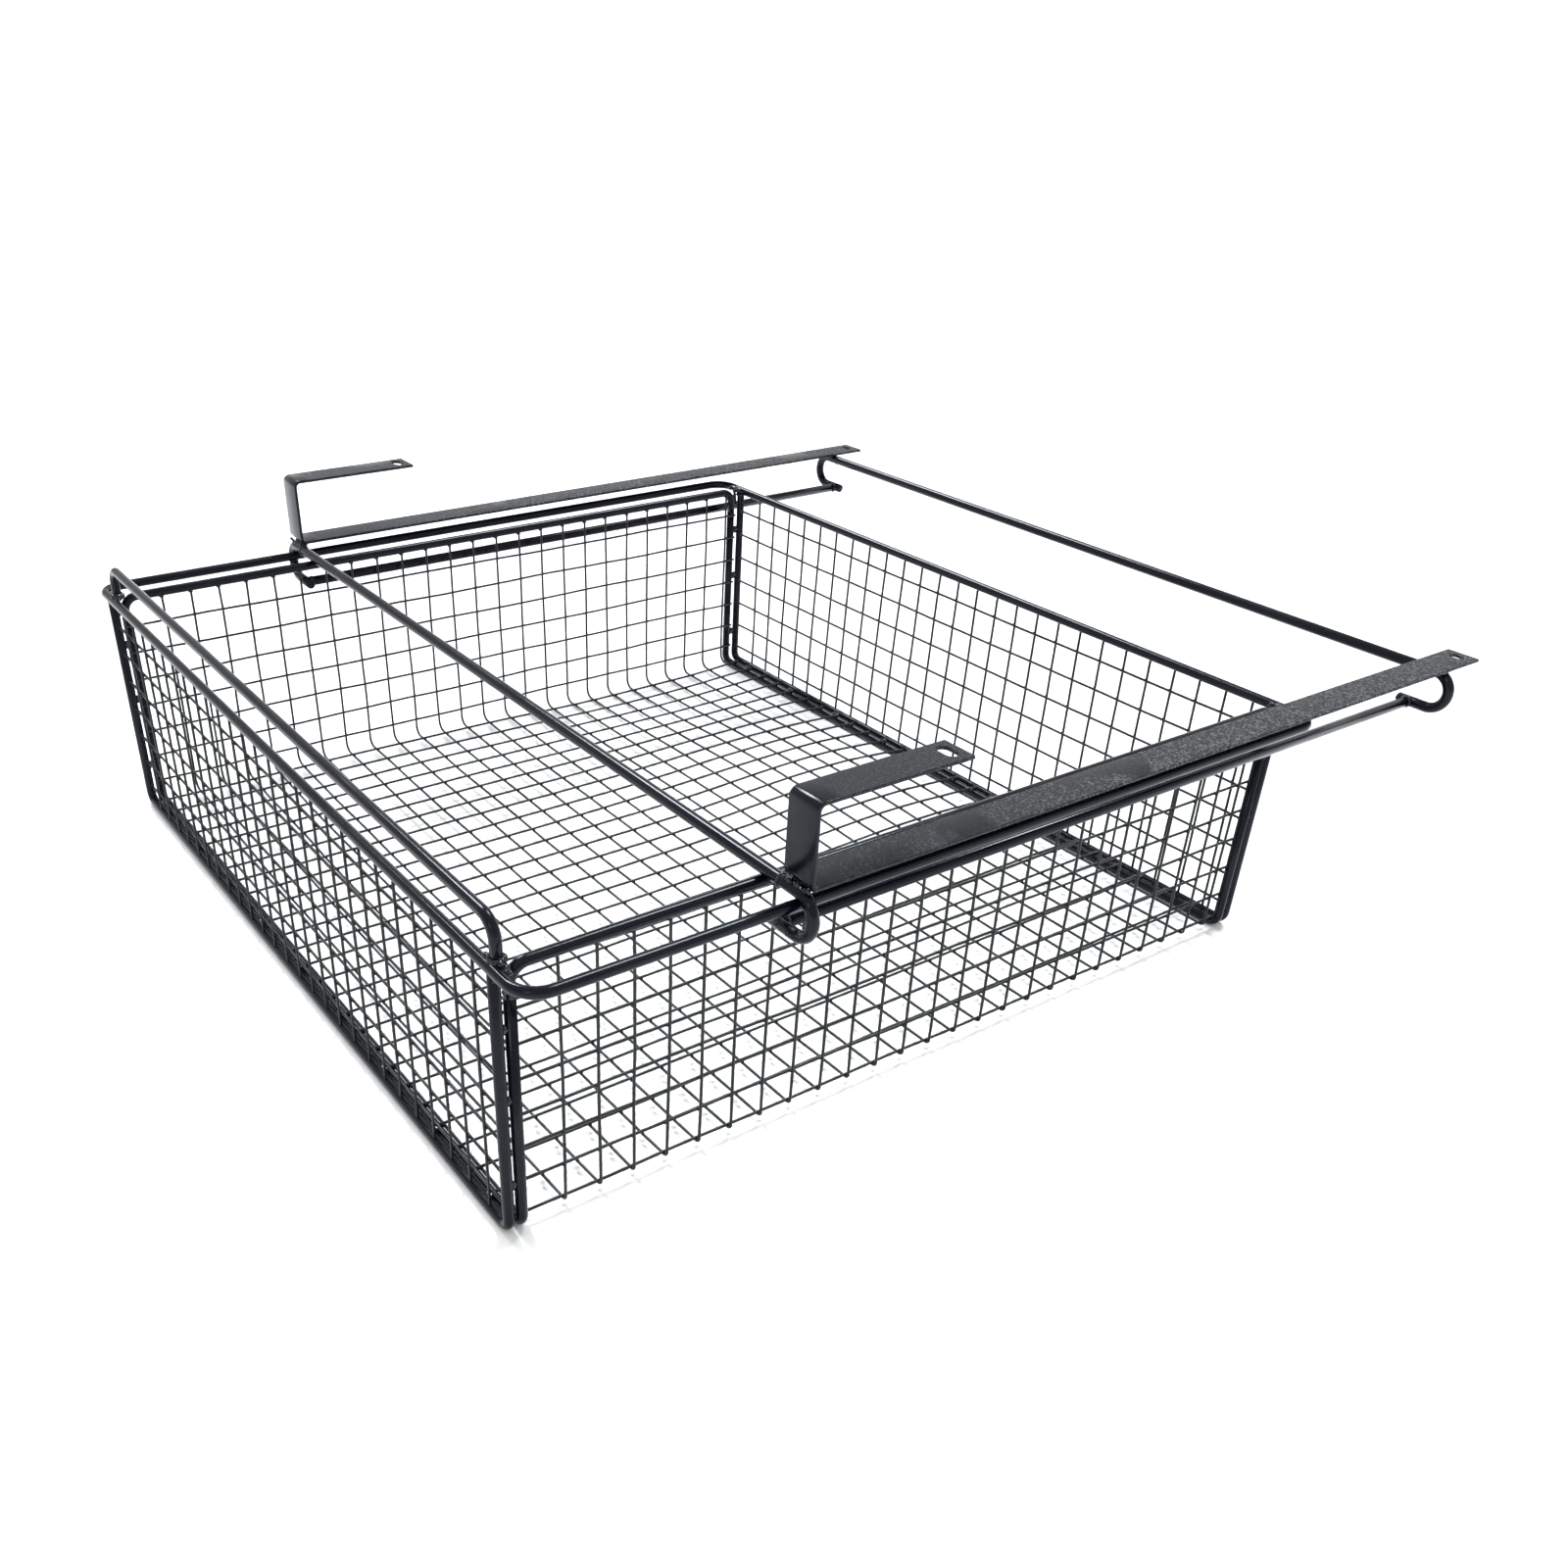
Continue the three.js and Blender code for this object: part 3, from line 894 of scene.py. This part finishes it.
BEAD_ROUGH = 0.3
TACK_ZS = mm(22, 60, 90)
TACK_XS = ladder(-184 * MM, 46 * MM, 9)

weld_rng = random.Random(31)


def bead_line(welds, start, end, count, radii, jitter=0.3 * MM):
    """Overlapping droplets from start to end."""
    start = np.array(start, float)
    end = np.array(end, float)
    for k in range(count):
        at = start + (end - start) * (k / max(1, count - 1))
        at = at + np.array([weld_rng.uniform(-jitter, jitter) for _ in range(3)])
        size = weld_rng.uniform(0.8, 1.15)
        welds.blob(at, [r * size for r in radii], weld_rng.uniform(0, 50), BEAD_ROUGH, BEAD_DETAIL)


def bead_ring(welds, centre, axis, radius, bead, count, first=0.0, sweep=360.0):
    """Overlapping droplets round a rod, in the plane across `axis` (0 = x, 1 = y, 2 = z)."""
    u, w = [(1, 2), (0, 2), (0, 1)][axis]
    for k in range(count):
        angle = math.radians(first + sweep * k / count)
        at = np.array(centre, float)
        at[u] += radius * math.cos(angle)
        at[w] += radius * math.sin(angle)
        size = weld_rng.uniform(0.85, 1.2)
        welds.blob(at, [bead * size] * 3, weld_rng.uniform(0, 50), BEAD_ROUGH, BEAD_DETAIL)


def hanger_side_welds(welds, s):
    """Straps to cross rods, and ledge rods to cross rods, on one side."""
    x = s * STRAP_X
    inner = x - s * STRAP_WIDTH / 2
    outer = x + s * STRAP_WIDTH / 2
    under = strap_low.z - WELD_GAP
    fillet_z = under - 0.6 * MM
    for y, way in ((FRONT_ROD_Y, 1), (REAR_ROD_Y, -1)):
        side_y = y + way * (FRAME_R + 0.2 * MM)
        start = (x - 5 * MM, side_y, fillet_z)
        end = (x + 5 * MM, side_y, fillet_z)
        bead_line(welds, start, end, 7, mm(1.5, 1.2, 0.9))
    # A collar on each cross rod at the strap's inner edge, and spatter along the riser's foot
    collar_x = inner - s * 1.2 * MM
    bead_ring(welds, (collar_x, FRONT_ROD_Y, ROD_Z), 0, FRAME_R - 0.2 * MM, 0.75 * MM, 16)
    bead_ring(welds, (collar_x, REAR_ROD_Y, ROD_Z), 0, FRAME_R - 0.3 * MM, 0.6 * MM, 14)
    foot_y = strap_low.y - 0.2 * MM
    start = (inner + s * 1 * MM, foot_y, under)
    end = (outer - s * 2 * MM, foot_y, under)
    bead_line(welds, start, end, 8, mm(1.2, 0.9, 0.9))
    for y, way in ((FRONT_ROD_Y, 1), (REAR_ROD_Y, -1)):
        joint_y = y + way * (FRAME_R + 0.1 * MM)
        bead_ring(welds, (s * LEDGE_X, joint_y, LEDGE_Z), 1, FRAME_R - 0.3 * MM, 0.8 * MM, 14)


def basket_corner_welds(welds, s, bar_y, rim_y, way):
    """Panel post to rim bar, the side rim's bend against it, and tacks down the two posts."""
    foot = (s * POST_X, bar_y, RING_Z - ROD_R - 0.2 * MM)
    bead_ring(welds, foot, 2, ROD_R - 0.3 * MM, 0.95 * MM, 12, 80 - way * 90, 200)
    touch_y = (bar_y + rim_y) / 2
    start = (s * (POST_X - 2 * MM), touch_y, RING_Z + 1.2 * MM)
    end = (s * (POST_X + 5 * MM), touch_y, RING_Z + 1.2 * MM)
    bead_line(welds, start, end, 7, mm(1.6, 1.5, 1.2), 0.5 * MM)
    ring_side = s * (POST_X + 1.5 * MM)
    top = (ring_side, touch_y, RING_Z - 1 * MM)
    bottom = (ring_side, touch_y, RING_Z - 8 * MM)
    bead_line(welds, top, bottom, 5, mm(0.8, 1.0, 1.4))
    reach = abs(bar_y - rim_y) / 2 - 0.9 * MM
    for z in TACK_ZS:
        welds.blob((s * POST_X, touch_y, z), (1.2 * MM, reach, 2.2 * MM), z, BEAD_ROUGH, BEAD_DETAIL)


def basket_side_welds(welds, side, s):
    """The handle's foot on the front rim bar, and the two corners of one side."""
    foot = (s * HANDLE_X, HANDLE_Y, RING_Z + ROD_R + 0.1 * MM)
    bead_ring(welds, foot, 2, ROD_R + 0.1 * MM, 1.3 * MM, 12)
    toe = (s * (HANDLE_X + 4 * MM), FRONT_Y + 2.2 * MM, RING_Z + ROD_R - 0.5 * MM)
    heel = (s * (HANDLE_X - 5 * MM), FRONT_Y + 0.6 * MM, RING_Z + ROD_R - 0.4 * MM)
    bead_line(welds, toe, heel, 7, mm(1.5, 1.2, 1.1), 0.5 * MM)
    basket_corner_welds(welds, s, FRONT_Y, FRONT_SHEET_Y, 1)
    basket_corner_welds(welds, s, REAR_Y, REAR_SHEET_Y[side], -1)


def bottom_bar_tacks(welds, bar_y, rim_y):
    """Tacks between the two bottom bars at one end."""
    reach = max(abs(bar_y - rim_y) / 2 - 0.6 * MM, 1.2 * MM)
    for k, x in enumerate(TACK_XS):
        at = (x, (bar_y + rim_y) / 2, BAR_Z + 0.4 * MM)
        welds.blob(at, (2.4 * MM, reach, 1.3 * MM), k, BEAD_ROUGH, BEAD_DETAIL)


hanger_welds = Shells()
for _, s in SIDES:
    hanger_side_welds(hanger_welds, s)
weld_nodes = ["weld_front_left", "weld_front_right", "weld_rear_left", "weld_rear_right"]
hanger_welds.build("hanger_welds", WELD_COAT, "hanger", weld_nodes)

basket_welds = Shells()
for side, s in SIDES:
    basket_side_welds(basket_welds, side, s)
bottom_bar_tacks(basket_welds, FRONT_Y, FRONT_SHEET_Y)
bottom_bar_tacks(basket_welds, REAR_Y, (REAR_SHEET_Y["left"] + REAR_SHEET_Y["right"]) / 2)
basket_welds.build("basket_welds", WELD_COAT, "basket")


# ---------------------------------------------------------------- stage, light and camera

FLOOR_HALF = 400                    # metres: past the edge of any picture
SOFT_BLUE = (0.90, 0.95, 1.0)
HORIZON = (0.03, 1.04)              # height on the sky and its brightness there
ZENITH = (0.40, 0.84)


def stage_floor():
    mesh = bpy.data.meshes.new("floor")
    corners = [(x * FLOOR_HALF, y * FLOOR_HALF, 0) for x, y in ((-1, -1), (1, -1), (1, 1), (-1, 1))]
    mesh.from_pydata(corners, [], [(0, 1, 2, 3)])
    mesh.materials.append(floor_paper())
    link_object("floor", mesh)


def area_light(name, place, aim, size, watts):
    light = bpy.data.lights.new(name, "AREA")
    light.shape = "RECTANGLE"
    light.size, light.size_y = size
    light.energy = watts
    lamp = link_object(name, light)
    lamp.location = place
    lamp.rotation_euler = (Vector(aim) - Vector(place)).to_track_quat("-Z", "Y").to_euler()


def sun_light(name, towards, angle, strength, colour):
    """A distant soft light: `towards` points from the object to its middle."""
    light = bpy.data.lights.new(name, "SUN")
    light.angle = math.radians(angle)
    light.energy = strength
    light.color = colour
    link_object(name, light).rotation_euler = Vector(towards).to_track_quat("Z", "Y").to_euler()


def studio_world():
    """White at the horizon, greyer overhead."""
    world = bpy.data.worlds.new("studio")
    world.use_nodes = True
    tree = world.node_tree
    sky = tree.nodes["Background"]
    coordinates = tree.nodes.new("ShaderNodeTexCoord")
    split = tree.nodes.new("ShaderNodeSeparateXYZ")
    ramp = tree.nodes.new("ShaderNodeValToRGB")
    tree.links.new(coordinates.outputs["Generated"], split.inputs["Vector"])
    tree.links.new(split.outputs["Z"], ramp.inputs["Fac"])
    tree.links.new(ramp.outputs["Color"], sky.inputs["Color"])
    ramp.color_ramp.interpolation = "EASE"
    for stop, (height, grey) in zip(ramp.color_ramp.elements, (HORIZON, ZENITH)):
        stop.position = height
        stop.color = (grey, grey, grey, 1)
    bpy.context.scene.world = world


def aim_camera(place, azimuth, elevation, roll):
    """Stands the scene's camera at `place`, turned by angles in degrees."""
    data = bpy.data.cameras.new("camera")
    data.sensor_width = 36
    data.lens = 33.44
    data.shift_x = 0.0665
    data.shift_y = 0.1276
    data.clip_start = 0.01
    azimuth, elevation, roll = (math.radians(a) for a in (azimuth, elevation, roll))
    level = math.cos(elevation)
    back = Vector((math.sin(azimuth) * level, -math.cos(azimuth) * level, math.sin(elevation)))
    right = (-back).cross(Vector((0, 0, 1))).normalized()
    up = right.cross(-back)
    axis_x = right * math.cos(roll) + up * math.sin(roll)
    axis_y = up * math.cos(roll) - right * math.sin(roll)
    turn = Matrix((axis_x, axis_y, back)).transposed()
    camera = link_object("camera", data)
    camera.matrix_world = Matrix.Translation(place) @ turn.to_4x4()
    bpy.context.scene.camera = camera


stage_floor()
sun_light("left_softbox", (-0.68, 0.05, 0.73), 17, 2.5, SOFT_BLUE)
sun_light("rear_softbox", (-0.15, 0.48, 0.87), 17, 2.5, SOFT_BLUE)
area_light("front_fill", (1.1, -1.7, 1.3), (0, 0, 0.05), (0.5, 0.35), 3)
studio_world()
bpy.context.scene.view_settings.view_transform = "Standard"
aim_camera((0.5558, -0.4249, 0.3710), 55.061, 33.903, 1.216)
